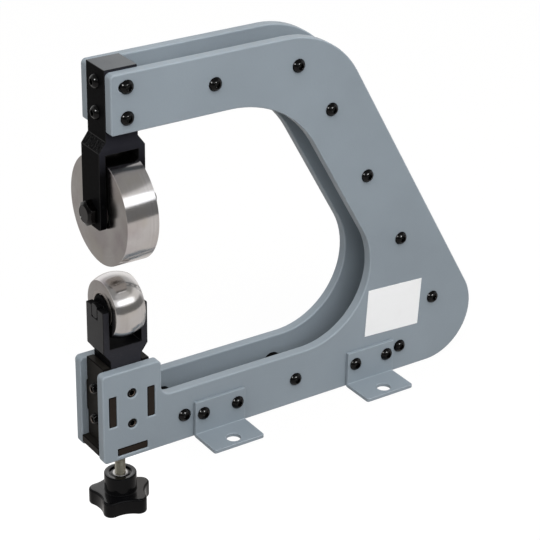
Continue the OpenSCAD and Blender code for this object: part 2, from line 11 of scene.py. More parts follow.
import bmesh
import bpy
import numpy as np
from mathutils import Matrix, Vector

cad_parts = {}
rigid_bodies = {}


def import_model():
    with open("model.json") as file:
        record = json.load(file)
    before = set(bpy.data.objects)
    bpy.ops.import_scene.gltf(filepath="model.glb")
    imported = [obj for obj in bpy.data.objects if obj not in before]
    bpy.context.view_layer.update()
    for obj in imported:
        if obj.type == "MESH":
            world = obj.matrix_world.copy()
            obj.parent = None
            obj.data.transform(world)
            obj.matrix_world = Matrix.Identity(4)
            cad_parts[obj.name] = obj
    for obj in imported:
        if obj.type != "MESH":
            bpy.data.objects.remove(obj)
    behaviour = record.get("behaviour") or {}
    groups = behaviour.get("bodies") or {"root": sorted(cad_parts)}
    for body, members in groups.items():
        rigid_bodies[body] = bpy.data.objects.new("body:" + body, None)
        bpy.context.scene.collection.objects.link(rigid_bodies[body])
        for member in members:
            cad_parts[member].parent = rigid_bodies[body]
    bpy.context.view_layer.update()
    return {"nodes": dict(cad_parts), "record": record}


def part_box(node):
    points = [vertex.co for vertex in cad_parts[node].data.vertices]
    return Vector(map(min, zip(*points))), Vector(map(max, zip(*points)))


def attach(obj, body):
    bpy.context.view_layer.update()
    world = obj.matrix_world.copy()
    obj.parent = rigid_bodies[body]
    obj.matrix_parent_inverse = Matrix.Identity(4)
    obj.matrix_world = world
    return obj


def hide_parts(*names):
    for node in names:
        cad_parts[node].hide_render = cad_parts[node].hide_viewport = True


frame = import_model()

MM = 0.001
nodes = frame["nodes"]
bodies = frame["record"]["behaviour"]["bodies"]
body_of = {node: body for body, members in bodies.items() for node in members}
slot_of = {part["node"]: part["material_slot"] for part in frame["record"]["subparts"]}

# %% [markdown]
# ## Finishes
# Every surface of the machine has a finish: powder coat, black paint, turned steel. An
# image could be wrapped round each part, but it would bring seams and one fixed sharpness.
# A graph of nodes has neither, so every finish here is a graph. A small class keeps the
# graphs short: it makes a material with one Principled shader and adds nodes to it.
# Patterns read Object coordinates, which are metres from the frame's origin, so a noise
# of scale 1000 has details about a millimetre across.

# %% A short way to write a graph
class Finish:
    """A material with one Principled shader, whose plain numbers are set on its sockets."""

    def __init__(self, name, **sockets):
        self.material = bpy.data.materials.new(name)
        self.material.use_nodes = True
        self.tree = self.material.node_tree
        self.shader = self.tree.nodes["Principled BSDF"]
        for socket, value in sockets.items():
            self.shader.inputs[socket.replace("_", " ")].default_value = value
        self.place = self.node("TexCoord").outputs["Object"]

    def node(self, kind, inputs=(), **settings):
        """One more node in this graph."""
        return graph_node(self.tree, kind, inputs, **settings)

    def noise(self, scale, detail=2.0, vector=None):
        """Cloudy values around one half."""
        inputs = {"Vector": vector or self.place, "Scale": scale, "Detail": detail}
        return self.node("TexNoise", inputs).outputs[0]

    def fit(self, value, low, high, to_low=0.0, to_high=1.0):
        """value taken from low..high to to_low..to_high, and held there beyond."""
        inputs = {"Value": value, "From Min": low, "From Max": high,
                  "To Min": to_low, "To Max": to_high}
        return self.node("MapRange", inputs).outputs[0]

    def math(self, operation, a, b=0.0):
        """Two values made one, by ADD, MULTIPLY or MAXIMUM."""
        return self.node("Math", {0: a, 1: b}, operation=operation).outputs[0]

    def blend(self, factor, a, b):
        """Colour a where factor is 0, b where it is 1."""
        return self.node("Mix", {0: factor, 6: a, 7: b}, data_type="RGBA").outputs[2]

    def bump(self, height, distance, strength=1.0, under=None):
        """A normal tilted by the slope of height, distance high, on top of another bump."""
        inputs = {"Height": height, "Distance": distance, "Strength": strength}
        if under is not None:
            inputs["Normal"] = under
        return self.node("Bump", inputs).outputs[0]

    def feed(self, socket, output):
        """Joins an output to a socket of the shader."""
        self.tree.links.new(output, self.shader.inputs[socket])


def graph_node(tree, kind, inputs=(), **settings):
    """One node. inputs pairs a socket's name or number with a number or an output."""
    made = tree.nodes.new("ShaderNode" + kind)
    for key, value in settings.items():
        setattr(made, key, value)
    for key, value in dict(inputs).items():
        if isinstance(value, bpy.types.NodeSocket):
            tree.links.new(value, made.inputs[key])
        else:
            made.inputs[key].default_value = value
    return made


def rgb(red, green, blue):
    """A colour written as it looks, 0 to 255, turned into the linear light of a shader."""
    seen = np.array([red, green, blue]) / 255
    linear = np.where(seen <= 0.04045, seen / 12.92, ((seen + 0.055) / 1.055) ** 2.4)
    return (*linear.tolist(), 1.0)


def scaled(colour, factor):
    """The same colour with more or less light."""
    return (*(min(factor * part, 1.0) for part in colour[:3]), 1.0)


print("a mid grey of 128 is", round(rgb(128, 128, 128)[0], 3), "in linear light")

# %% [markdown]
# The side plates and feet are powder coated in a satin blue-grey. A powder coat has a
# fine orange peel, a millimetre or two from crest to crest, and a few specks of dust
# under it. The peel could be real bumps in the mesh, but it is far too fine for that, so
# two noises tilt the light instead. The rounded edges get a slightly lighter tone of the
# same graph, a painted highlight along each edge.

# %% Powder coat
def powder_coat(name, tint):
    """A clouded tint with specks of dust, and two bumps, a wide and a fine one."""
    coat = Finish(name, Specular_IOR_Level=0.35, IOR=1.5)
    clouds = coat.fit(coat.noise(14, 3), 0.35, 0.65)
    tone = coat.blend(clouds, scaled(tint, 0.95), scaled(tint, 1.04))
    dust = coat.fit(coat.noise(2600, 1), 0.66, 0.74, 0, 0.25)
    coat.feed("Base Color", coat.blend(dust, tone, scaled(tint, 0.6)))
    coat.feed("Roughness", coat.fit(coat.noise(60, 3), 0.3, 0.7, 0.42, 0.55))
    peel = coat.bump(coat.noise(700, 2), 0.1 * MM, 0.5)
    coat.feed("Normal", coat.bump(coat.noise(3200, 1), 0.02 * MM, 0.5, peel))
    return coat.material


frame_paint = powder_coat("frame_paint", rgb(142, 152, 160))
# The edge tone is a painted highlight on the rounded edges.
frame_paint_edge = powder_coat("frame_paint_edge", rgb(152, 162, 170))
print("powder coats:", frame_paint.name, "and", frame_paint_edge.name)

# %% [markdown]
# The forks are machined bar with a thin satin black. Handling leaves fine scratches in
# it, and bare specks where something has knocked it. Both could be painted on by hand,
# but a stretched noise and a fine one, cut off near their peaks, leave the same marks all
# over. One graph serves every kind of face, with its own tint, shine and lumps: plain
# sides, edges, the sawn shoulders under their thick paint, and the top end of the upper
# shank in a light grey. The broad faces and the outer sides of the lower legs get tints
# of their own, picked by the way each face looks, a painted sheen for the light they
# catch. On the upper fork's broad faces this painted sheen is near black low down and
# grows lighter with height, towards the clamp. The guide plates have a browner black.

# %% Satin black
# Between these heights the broad faces of the upper fork pass over to a lighter painted sheen.
top_sheen_from, top_sheen_to = 225 * MM, 245 * MM


def satin_black(name, tint, scuff_tint, rough, lumps=0.03 * MM, specular=0.3,
                top_sheen_tint=None):
    """A tint that shows scuff_tint where the larger of scratches and specks is high. With
    height it can pass over to top_sheen_tint."""
    black = Finish(name, Specular_IOR_Level=specular)
    # Towards the top the tint passes over to a lighter one, a painted sheen.
    if top_sheen_tint is not None:
        height = black.node("SeparateXYZ", {0: black.place}).outputs[2]
        top_sheen = black.fit(height, top_sheen_from, top_sheen_to)
        tint = black.blend(top_sheen, tint, top_sheen_tint)
    clouds = black.fit(black.noise(45, 5), 0.35, 0.7)
    combed = black.node("Mapping", {"Vector": black.place, "Rotation": (0.5, 0.3, 0.8),
                                    "Scale": (1, 12, 1)}).outputs[0]
    scratches = black.fit(black.noise(420, 3, combed), 0.665, 0.72)
    specks = black.fit(black.noise(1500, 2), 0.69, 0.73)
    wear = black.math("MAXIMUM", black.math("MULTIPLY", scratches, 0.3), specks)
    base = black.blend(black.math("MULTIPLY", clouds, 0.004), tint, rgb(255, 255, 255))
    black.feed("Base Color", black.blend(wear, base, scuff_tint))
    black.feed("Roughness", black.fit(clouds, 0, 1, rough, rough + 0.14))
    grain = black.bump(black.noise(1800, 3), 0.03 * MM, 0.6)
    lumpy = black.bump(black.noise(420, 3), lumps, 1.0, grain)
    black.feed("Normal", black.bump(scratches, -0.02 * MM, 0.5, lumpy))
    return black.material


# The broad faces, the outer sides of the lower legs and the ends of the anvil axle get tints below
# that are a painted sheen, picked by the way each face looks.
fork_black = satin_black("fork_black", rgb(11, 11, 12), rgb(50, 50, 54), 0.4, specular=0.01)
fork_broad_sheen = satin_black("fork_black_broad", rgb(3, 3, 4), rgb(46, 46, 50), 0.4,
                         specular=0.01, top_sheen_tint=rgb(40, 40, 46))
fork_lower_sheen = satin_black("fork_black_satin", rgb(42, 42, 47), rgb(76, 76, 80), 0.4,
                         specular=0.1)
fork_edge = satin_black("fork_black_edge", rgb(8, 8, 9), rgb(70, 70, 74), 0.3,
                        specular=0.15)
fork_sawn = satin_black("fork_black_sawn", rgb(2, 2, 3), rgb(120, 120, 122), 0.3,
                        lumps=1.0 * MM, specular=0.02)
fork_end = satin_black("fork_black_end", rgb(84, 87, 90), rgb(126, 126, 126), 0.4)
fork_side_sheen = satin_black("fork_black_rubbed", rgb(62, 62, 63), rgb(96, 96, 96), 0.45,
                          specular=0.1)
tab_black = satin_black("tab_black", rgb(32, 30, 27), rgb(66, 56, 48), 0.45, specular=0.06)
# The rounded edges of the guides and base plate are near black, a painted shade of the gap round
# each tab in its slot.
tab_gap_shade = satin_black("tab_black_edge", rgb(6, 5, 5), rgb(30, 26, 24), 0.5, specular=0.02)
tab_end = satin_black("tab_black_end", rgb(36, 29, 24), rgb(70, 60, 52), 0.45, specular=0.1)
print("satin blacks:", fork_black.name, "to", tab_end.name)

# %% [markdown]
# The wheels are turned and polished steel. The tool leaves rings around the axle, so a
# reflection spreads across the rings and stays sharp along them. That is anisotropy. The
# rings could be cut into the mesh, but they are finer than a hair, so two noises of one
# dimension draw them. They follow the piece's own UV map, whose u runs along the turned
# profile. Oil and hands leave faint stains, some reddish and some straw, which are shares
# of the steel's own colour. The treads are polished more than the faces of the wheels.
# The same graph, duller, makes the bearings and the zinc plate of the lift screw.

# %% Turned steel
def turned_steel(name, tint, rough, spread):
    """Steel whose tone follows 0.6 of a fine noise of u and 0.4 of a wide one."""
    steel = Finish(name, Metallic=1.0, Anisotropic=spread)
    uv = steel.node("UVMap", uv_map="turning").outputs[0]
    tangent = steel.node("Tangent", direction_type="UV_MAP", uv_map="turning").outputs[0]
    steel.feed("Tangent", tangent)
    line = {"W": steel.node("SeparateXYZ", {0: uv}).outputs[0], "Detail": 4}
    fine = steel.node("TexNoise", line | {"Scale": 9}, noise_dimensions="1D").outputs[0]
    wide = steel.node("TexNoise", line | {"Scale": 0.7}, noise_dimensions="1D").outputs[0]
    rings = steel.math("ADD", steel.math("MULTIPLY", fine, 0.6),
                       steel.math("MULTIPLY", wide, 0.4))
    tone = steel.blend(steel.fit(rings, 0.3, 0.7), scaled(tint, 0.86), tint)
    patches = steel.noise(55, 4)
    smudges = steel.fit(patches, 0.4, 0.7, 0, 0.6)
    straw = steel.fit(steel.noise(30, 2), 0.4, 0.6)
    red, green, blue = tint[:3]
    stain = steel.blend(straw, (0.64 * red, 0.56 * green, 0.62 * blue, 1),
                        (0.84 * red, 0.80 * green, 0.70 * blue, 1))
    steel.feed("Base Color", steel.blend(smudges, tone, stain))
    cloudy = steel.math("ADD", rings, patches)
    steel.feed("Roughness", steel.fit(cloudy, 0.7, 1.3, rough, rough + 0.08))
    steel.feed("Normal", steel.bump(fine, 0.012 * MM, 0.35))
    return steel.material


wheel_steel = turned_steel("wheel_steel", rgb(200, 197, 196), 0.13, 0.6)
wheel_face = turned_steel("wheel_steel_face", rgb(150, 147, 145), 0.17, 0.5)
bearing_steel = turned_steel("bearing_steel", rgb(160, 156, 153), 0.3, 0.4)
zinc_steel = turned_steel("zinc_steel", rgb(168, 165, 152), 0.42, 0.1)
zinc_bright = turned_steel("zinc_steel_bright", rgb(236, 235, 236), 0.25, 0.1)
print("steels: tread, wheel face, bearing, dull zinc, bright zinc")

# %% [markdown]
# Screws are blackened: a dark oxide over steel, semi-gloss, with a trace of brown. Round
# the mouths of the set screws a lighter brown ring is painted in, a painted highlight
# where the socket's rim catches the light. The knob is moulded plastic, deep black, with
# the faint waviness of a moulding. Its level faces shine more than its sides, so it has
# two finishes. The label is a plain white sticker, left blank, with fine fibres and a
# little wear. One flat colour could stand for each of these, but it is the small changes
# in tone and gloss that make them look real, so each has a few.

# %% Blackened steel, moulded plastic and paper
def blackened(name):
    """Near black, a little browner and rougher in clouds."""
    oxide = Finish(name, Specular_IOR_Level=0.18)
    clouds = oxide.fit(oxide.noise(300, 4), 0.35, 0.7)
    oxide.feed("Base Color", oxide.blend(clouds, rgb(0, 0, 0), rgb(6, 5, 5)))
    oxide.feed("Roughness", oxide.fit(clouds, 0, 1, 0.12, 0.18))
    oxide.feed("Normal", oxide.bump(oxide.noise(1500, 2), 0.02 * MM, 0.15))
    return oxide.material


def moulded(name, specular):
    """Two blacks in clouds, with a soft wave of 0.04 mm."""
    plastic = Finish(name, Specular_IOR_Level=specular)
    tone = plastic.blend(plastic.noise(120, 3), rgb(4, 4, 5), rgb(10, 10, 12))
    plastic.feed("Base Color", tone)
    plastic.feed("Roughness", plastic.fit(plastic.noise(400, 3), 0.35, 0.7, 0.1, 0.2))
    plastic.feed("Normal", plastic.bump(plastic.noise(220, 2), 0.04 * MM, 0.35))
    return plastic.material


def paper(name):
    """White fibres, greyer where a wide noise is high."""
    sheet = Finish(name, Specular_IOR_Level=0.4)
    fibres = sheet.noise(900, 4)
    worn = sheet.fit(sheet.noise(70, 3), 0.55, 0.75, 0, 0.5)
    white = sheet.blend(fibres, rgb(253, 253, 253), rgb(255, 255, 255))
    sheet.feed("Base Color", sheet.blend(worn, white, rgb(248, 248, 247)))
    sheet.feed("Roughness", sheet.fit(fibres, 0.3, 0.7, 0.4, 0.55))
    sheet.feed("Normal", sheet.bump(fibres, 0.01 * MM, 0.3))
    return sheet.material


screw_black = blackened("screw_black")
# A lighter brown for the ring round each set screw's mouth, a painted highlight.
screw_mouth_highlight = satin_black("screw_black_worn", rgb(92, 80, 71), rgb(190, 180, 170), 0.3,
                         specular=0.5)
knob_black = moulded("knob_black", 0.12)
knob_level = moulded("knob_black_top", 1.0)
label_white = paper("label_white")
small = (screw_black, screw_mouth_highlight, knob_black, knob_level, label_white)
print("small parts:", ", ".join(material.name for material in small))

# %% [markdown]
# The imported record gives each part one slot, such as the black of the forks. A slot here
# is a list of finishes. The first is for every face that has no other, and the rest are
# picked face by face, by their number in the list. An object for each finish could do the
# same, but then one real part would be in pieces.

# %% Which finishes belong to which slot
finishes = {
    "frame_paint": [frame_paint, frame_paint_edge],
    "fork_black": [fork_black, fork_edge, fork_sawn, fork_end, fork_side_sheen, fork_lower_sheen,
                   fork_broad_sheen],
    "tab_black": [tab_black, tab_gap_shade, tab_end],
    "wheel_steel": [wheel_steel, wheel_face],
    "bearing_steel": [bearing_steel],
    "screw_black": [screw_black, screw_mouth_highlight],
    "zinc_steel": [zinc_steel, zinc_bright],
    "knob_black": [knob_black, knob_level],
    "label_white": [label_white],
}
SECOND = EDGE = 1
SAWN, END, SIDE_SHEEN, LOWER_SHEEN, BROAD = 2, 3, 4, 5, 6
FILED = 2
print("finishes:", {slot: len(group) for slot, group in finishes.items()})

# %% [markdown]
# ## From the CAD solids to finished pieces
# A flat cut part, such as a side plate, has the right outline already. What it lacks is
# the small round along each edge, which catches the light. The outline could be drawn
# again here, but then two files would have to agree. So a clean copy of the CAD mesh is
# merged, its flat faces are joined up, and a Bevel modifier rounds what stays sharp.

# %% Measures of the CAD nodes
def centre_of(node):
    """The middle of a node's box."""
    low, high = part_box(node)
    return (np.array(low) + np.array(high)) / 2


def size_of(node):
    """Its length, width and height: the highest corner less the lowest."""
    low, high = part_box(node)
    return np.array(high) - np.array(low)


def read(items, attribute, width, kind=float):
    """One attribute of all vertices, edges or faces, as an array of rows."""
    values = np.empty(len(items) * width, kind)
    items.foreach_get(attribute, values)
    return values.reshape(-1, width)


x_axis, y_axis, z_axis = (1, 0, 0), (0, 1, 0), (0, 0, 1)
print("side plates", round(size_of("plate_near")[1] / MM, 1), "mm thick")


# %% Merged copies and what they hold
def merged_copy(node):
    """The node's triangles as a bmesh, with doubles merged."""
    source = nodes[node].data
    source.calc_loop_triangles()
    loose = bpy.data.meshes.new(node)
    loose.from_pydata(read(source.vertices, "co", 3), [],
                      read(source.loop_triangles, "vertices", 3, np.int32))
    solid = bmesh.new()
    solid.from_mesh(loose)
    bpy.data.meshes.remove(loose)
    bmesh.ops.remove_doubles(solid, verts=solid.verts, dist=0.001 * MM)
    return solid


def solids_in(node):
    """Lowest and highest corner of each separate solid in a CAD node, in metres. Every
    corner takes the lowest number among its neighbours until none changes, and corners
    with the same number are one solid."""
    solid = merged_copy(node)
    mesh = bpy.data.meshes.new(node)
    solid.to_mesh(mesh)
    solid.free()
    place = read(mesh.vertices, "co", 3)
    one, other = read(mesh.edges, "vertices", 2, np.int32).T
    bpy.data.meshes.remove(mesh)
    number, before = np.arange(len(place)), None
    while before is None or (number != before).any():
        before = number.copy()
        np.minimum.at(number, one, before[other])
        np.minimum.at(number, other, before[one])
        number = number[number]
    boxes = [(place[number == n].min(0), place[number == n].max(0)) for n in np.unique(number)]
    return sorted(boxes, key=lambda box: tuple(np.round(box[0], 4)))


print("ball bearings:", len(solids_in("upper_bearing_outers") + solids_in("lower_bearing_outers")))


# %% Finished pieces in the scene
def add_object(name, mesh):
    """A mesh put in the scene at the origin, unturned, since its points hold its place."""
    piece = bpy.data.objects.new(name, mesh)
    bpy.context.scene.collection.objects.link(piece)
    return piece


def dress(piece, node, chosen=None):
    """Gives a finished piece the body and the finish of the CAD node that it stands for, and hides
    that node.
    chosen holds the number of a finish for each face."""
    for material in finishes[slot_of[node]]:
        piece.data.materials.append(material)
    if chosen is not None:
        piece.data.polygons.foreach_set("material_index", chosen.astype(np.int32))
    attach(piece, body_of[node])
    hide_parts(node)
    return piece


# %% [markdown]
# The Bevel modifier takes its faces from the sharp edges only, so one number says how
# round a part is. Rounding each edge by hand would give the same look, but it would have
# to be done again after every change of the CAD. Its new faces get the edge finish.

# %% Copies with rounded edges
def rounded_copy(node, radius, segments=3, rule=None):
    """The CAD solid with every edge sharper than 30 degrees rounded off."""
    solid = merged_copy(node)
    flat = math.radians(0.4)
    bmesh.ops.dissolve_limit(solid, angle_limit=flat, verts=solid.verts, edges=solid.edges)
    mesh = bpy.data.meshes.new(node + "_finished")
    solid.to_mesh(mesh)
    solid.free()
    chosen = None
    if rule is not None:
        chosen = rule(read(mesh.polygons, "normal", 3), read(mesh.polygons, "center", 3) / MM)
    mesh.shade_smooth()
    piece = add_object(node + "_finished", mesh)
    bevel = piece.modifiers.new("edges", "BEVEL")
    bevel.width, bevel.segments = radius, segments
    bevel.limit_method = "ANGLE"
    bevel.angle_limit = math.radians(30)
    bevel.use_clamp_overlap = False
    bevel.loop_slide = False
    bevel.harden_normals = True
    bevel.material = EDGE if len(finishes[slot_of[node]]) > 1 else 0
    print(node, "rounded by", round(radius / MM, 2), "mm")
    return dress(piece, node, chosen)


for node in ("plate_near", "plate_far"):
    rounded_copy(node, 1.0 * MM, 4)
for node in ("foot_near_front", "foot_near_rear", "foot_far_front", "foot_far_rear"):
    rounded_copy(node, 0.45 * MM)

# %% [markdown]
# On the forks and guides some flat faces have a finish of their own: sawn shoulders,
# filed tabs, and faces with a painted sheen. A list of face numbers would break with the
# next change of the CAD. So a rule picks the faces by the way they face and where they
# are, and it gets the normals and the middles of all faces at once, in millimetres.

# %% Forks, guide plates and label
head_x = centre_of("upper_fork")[0] / MM
sloping, level, top_of_shank = 0.3, 0.9, 290
leg_inside, tab_inside = 15, 19


def shoulder_rule(normal, middle):
    """Sloping faces are sawn, and the very top of the shank gets its light grey. Broad faces
    look along the plates' thickness, and they get a painted sheen."""
    across, along, up = np.abs(normal).T
    on_top = (normal[:, 2] > level) & (middle[:, 2] > top_of_shank)
    broad = np.where(along > level, BROAD, 0)
    return np.where((across > sloping) & (up > sloping), SAWN, np.where(on_top, END, broad))


def leg_rule(normal, middle):
    """The flat outer sides of the lower legs get one lighter tint and the broad faces another,
    both a painted sheen.
    """
    across, along, up = np.abs(normal).T
    outside = (across > level) & (np.abs(middle[:, 0] - head_x) > leg_inside)
    return np.where(outside, SIDE_SHEEN, np.where(along > level, LOWER_SHEEN, 0))


def tab_rule(normal, middle):
    """The ends of the tabs, which show in the slots of the side plates, are filed."""
    at_end = (np.abs(normal[:, 1]) > level) & (np.abs(middle[:, 1]) > tab_inside)
    return np.where(at_end, FILED, 0)


rounded_copy("upper_fork", 0.35 * MM, rule=shoulder_rule)
rounded_copy("lower_fork", 0.35 * MM, rule=leg_rule)
for node in ("guide_front", "guide_rear", "base_plate"):
    rounded_copy(node, 0.5 * MM, 2, rule=tab_rule)
rounded_copy("blank_label", 0.07 * MM, 2)

# %% [markdown]
# ## Turned parts
# A turned part is a profile carried round an axle. Blender's Spin tool or a Screw modifier
# could carry it. Worked out as a surface of two numbers, it also gets a clean UV map for
# the turning marks: row i of the profile gives a place along the axle and a radius, and
# column j an angle, so a point is (along, radius cos angle, radius sin angle). The arrays
# are worked out whole, and the seam closes because the last column joins the first.

# %% Profiles
def soften(outline, reach, steps=5):
    """Rounds the corners of a closed outline. Each corner becomes the curve
    (1 - t)^2 a + 2 t (1 - t) corner + t^2 b, with a and b one reach away along its sides."""
    corner = np.asarray(outline, float)
    back = np.roll(corner, 1, 0) - corner
    ahead = np.roll(corner, -1, 0) - corner
    length_back = np.linalg.norm(back, axis=1, keepdims=True)
    length_ahead = np.linalg.norm(ahead, axis=1, keepdims=True)
    reach = np.broadcast_to(reach, len(corner)).reshape(-1, 1)
    a = corner + back / length_back * np.minimum(reach, 0.48 * length_back)
    b = corner + ahead / length_ahead * np.minimum(reach, 0.48 * length_ahead)
    t = np.linspace(0, 1, steps)[None, :, None]
    curve = (1 - t) ** 2 * a[:, None] + 2 * t * (1 - t) * corner[:, None] + t ** 2 * b[:, None]
    return curve.reshape(-1, 2)


def turns(columns):
    """One row of angles, evenly once round."""
    return np.linspace(0, 2 * np.pi, columns, endpoint=False)[None]


def spun(along, radius, columns=96):
    """Local points: along, and the radius times the cosine and sine of the angle."""
    angle = turns(columns)
    along, radius = np.broadcast_arrays(along, radius + 0 * angle)
    return np.stack([along, radius * np.cos(angle), radius * np.sin(angle)], -1)


def stand(local, foot, direction):
    """Local points put at foot, with along pointing in an axis direction."""
    ahead = np.asarray(direction, float)
    side = np.roll(ahead, 1)
    return (np.asarray(foot, float) + local[..., 0:1] * ahead + local[..., 1:2] * side
            + local[..., 2:3] * np.cross(ahead, side))


# %% From a grid of points to a mesh
def lattice(name, points, closed=True, sharp=32):
    """A mesh from points[copy, row, column]. Columns always close; rows close if asked.
    The UV map has the length along the rows in millimetres, and the share of a turn."""
    copies, rows, columns = points.shape[:3]
    spans = rows if closed else rows - 1
    i, j = np.meshgrid(np.arange(spans), np.arange(columns), indexing="ij")
    below, after = (i + 1) % rows, (j + 1) % columns
    quads = np.stack([i * columns + j, i * columns + after,
                      below * columns + after, below * columns + j], -1).reshape(-1, 4)
    offsets = np.arange(copies)[:, None, None] * rows * columns
    faces = (quads[None] + offsets).reshape(-1, 4)
    steps = np.linalg.norm(np.diff(points[0], axis=0, append=points[0, :1]), axis=-1).max(1)
    along = np.concatenate([[0], np.cumsum(steps)]) / MM
    u = np.stack([along[i], along[i], along[i + 1], along[i + 1]], -1)
    v = np.stack([j, j + 1, j + 1, j], -1) / columns
    uv = np.tile(np.stack([u, v], -1).reshape(-1, 2), (copies, 1))
    mesh = bpy.data.meshes.new(name)
    mesh.from_pydata(points.reshape(-1, 3), [], faces)
    turning = mesh.uv_layers.new(name="turning")
    turning.uv.foreach_set("vector", uv.astype(np.float32).ravel())
    solid = bmesh.new()
    solid.from_mesh(mesh)
    bmesh.ops.remove_doubles(solid, verts=solid.verts, dist=0.002 * MM)
    bmesh.ops.recalc_face_normals(solid, faces=solid.faces)
    solid.to_mesh(mesh)
    solid.free()
    mesh.shade_smooth()
    mesh.set_sharp_from_angle(angle=math.radians(sharp))
    return add_object(name, mesh)


def dress_flats(piece, node, axis, finish=SECOND, facing=0.97):
    """Dresses a piece, with another finish on the faces that look along an axis."""
    normal = read(piece.data.polygons, "normal", 3)
    return dress(piece, node, finish * (np.abs(normal[:, axis]) > facing))


# %% [markdown]
# The upper wheel is a plain flat disc, and the anvil wheel has a crowned tread, an arc
# across its width. Both have a seat for a ball bearing in each face and a smaller hole
# through the web between the seats. A cylinder with cuts in it could stand for each, but
# one closed profile gives the tread, the seats and every softened corner at once.

# %% The two wheels
bearing_w, web_step, seat_soft = 8 * MM, 3 * MM, 0.1 * MM
flat_rim, crowned_rim, crown_soft = 0.3 * MM, 0.35 * MM, 0.2 * MM


def wheel(node, bearing, crown=None, columns=256):
    """A turned wheel with two bearing seats. The tread is flat, or an arc of radius crown:
    at x across the width, the radius falls by crown minus the root of crown^2 - x^2."""
    half, radius = size_of(node)[0] / 2, size_of(node)[1] / 2
    seat_r = size_of(bearing)[1] / 2
    web_r = seat_r - web_step
    if crown is None:
        tread = [(-half, radius), (half, radius)]
        reach = [flat_rim] * 2
    else:
        x = np.linspace(-half, half, 33)
        tread = np.stack([x, radius - crown + np.sqrt(crown ** 2 - x ** 2)], -1).tolist()
        reach = [crowned_rim] + [crown_soft] * (len(x) - 2) + [crowned_rim]
    web = half - bearing_w
    inside = [(half, seat_r), (web, seat_r), (web, web_r),
              (-web, web_r), (-web, seat_r), (-half, seat_r)]
    profile = soften(tread + inside, reach + [seat_soft] * len(inside), 4)
    points = stand(spun(profile[:, :1], profile[:, 1:], columns), centre_of(node), x_axis)
    dress_flats(lattice(node + "_turned", points[None]), node, 0)
    print(node, "turned:", round(2 * radius / MM, 1), "x", round(2 * half / MM, 1), "mm")


wheel("upper_wheel", "upper_bearing_outers")
wheel("anvil_wheel", "lower_bearing_outers", crown=25 * MM)

# %% [markdown]
# Bearings, washers, sleeves and collars are plain rings: a rectangle with softened
# corners, turned about an axle. A ball is a half circle turned about its own middle.
# Each could be typed in at its own place, but the CAD knows the places already, so each
# solid of a CAD node gives one ring or ball its place and its size.

# %% Rings and balls
def rings(node, inner, direction, soft, columns=96):
    """One ring for every solid of a CAD node, with the bore's radius given."""
    axis = int(np.argmax(np.abs(direction)))
    made = []
    for low, high in solids_in(node):
        half = (high - low)[axis] / 2
        outer = (high - low)[(axis + 1) % 3] / 2
        section = soften([(-half, inner), (-half, outer), (half, outer), (half, inner)], soft)
        local = spun(section[:, :1], section[:, 1:], columns)
        made.append(stand(local, (low + high) / 2, direction))
    dress(lattice(node + "_turned", np.array(made)), node)
    print(node + ":", len(made))


def balls(node, columns=24, rows=16):
    """A ball for every solid: radius times the sine and cosine of two angles."""
    polar = np.linspace(0, np.pi, rows)[:, None]
    made = []
    for low, high in solids_in(node):
        radius = (high - low)[0] / 2
        local = spun(-radius * np.cos(polar), radius * np.sin(polar), columns)
        made.append(stand(local, (low + high) / 2, x_axis))
    dress(lattice(node + "_round", np.array(made), closed=False), node)
    print(node + ":", len(made))


screw_r, bolt_r, axle_r = 3 * MM, 5 * MM, 6 * MM
ring_wall = 2.6 * MM
rings("sleeves", screw_r, y_axis, 0.4 * MM, 64)
for node in ("upper_bearing_outers", "lower_bearing_outers"):
    rings(node, size_of(node)[1] / 2 - ring_wall, x_axis, 0.1 * MM)
rings("upper_bearing_inners", bolt_r, x_axis, 0.3 * MM)
rings("lower_bearing_inners", axle_r, x_axis, 0.3 * MM)
rings("upper_shims", bolt_r, x_axis, 0.05 * MM)
rings("upper_axle_washer", bolt_r, x_axis, 0.25 * MM)
rings("anvil_collars", axle_r, x_axis, 0.15 * MM)
balls("upper_bearing_balls")
balls("lower_bearing_balls")

# %% [markdown]
# The anvil axle is a rod whose two ends are filed flat, so that they drop into the open
# slots of the fork and cannot turn. Two cuts across a cylinder would make it. As a turned
# surface it needs no cuts: at the ends its radius is the smaller of two, the rod's, and
# the distance to the flats, half their width over the cosine of the angle.

# %% The anvil axle
half_flats, chamfer = 4 * MM, 0.5 * MM
half, gap = size_of("anvil_axle")[0] / 2, size_of("anvil_collars")[0] / 2
flat_ends = np.minimum(axle_r, half_flats / np.maximum(np.abs(np.cos(turns(96))), 0.1))
side_rows = [(half, 0 * flat_ends), (half, flat_ends - chamfer), (half - chamfer, flat_ends),
             (gap, flat_ends), (gap, axle_r + 0 * flat_ends)]
along, radius = zip(*[(-place, reach) for place, reach in side_rows], *side_rows[::-1])
axle = spun(np.array(along)[:, None], np.concatenate(radius))
axle = lattice("anvil_axle_flats", stand(axle, centre_of("anvil_axle"), x_axis)[None],
               closed=False)
# The flat ends get the lighter tint of the lower legs' outer sides, a painted sheen.
dress_flats(axle, "anvil_axle", 0, SIDE_SHEEN)
print("anvil axle:", round(2 * half / MM, 1), "mm long")

# %% [markdown]
# ## Screws
# A button head is a low dome with a hexagon socket. A hexagon could be cut out of a dome,
# but such a cut leaves ragged faces at its rim. Here the rows go from the tip of the shank
# out over the dome and down into the socket, and the radius of a socket row follows a
# hexagon: half its width across flats over the cosine of the angle from the middle of a
# flat. So dome and socket are one clean surface.

# %% A dome with a socket in it
def hexagon(angle, flats):
    """Distance from the middle to a hexagon's edge, flats across."""
    return flats / 2 / np.cos(angle % (np.pi / 3) - np.pi / 6)


def socketed(rows, columns=72):
    """Spins rows of (along, radius, share), where share takes a circle to a hexagon."""
    along, radius, share = np.asarray(rows, float).T[:, :, None]
    outline = (1 - share) * radius + share * hexagon(turns(columns), 2 * radius)
    return spun(along, outline, columns)


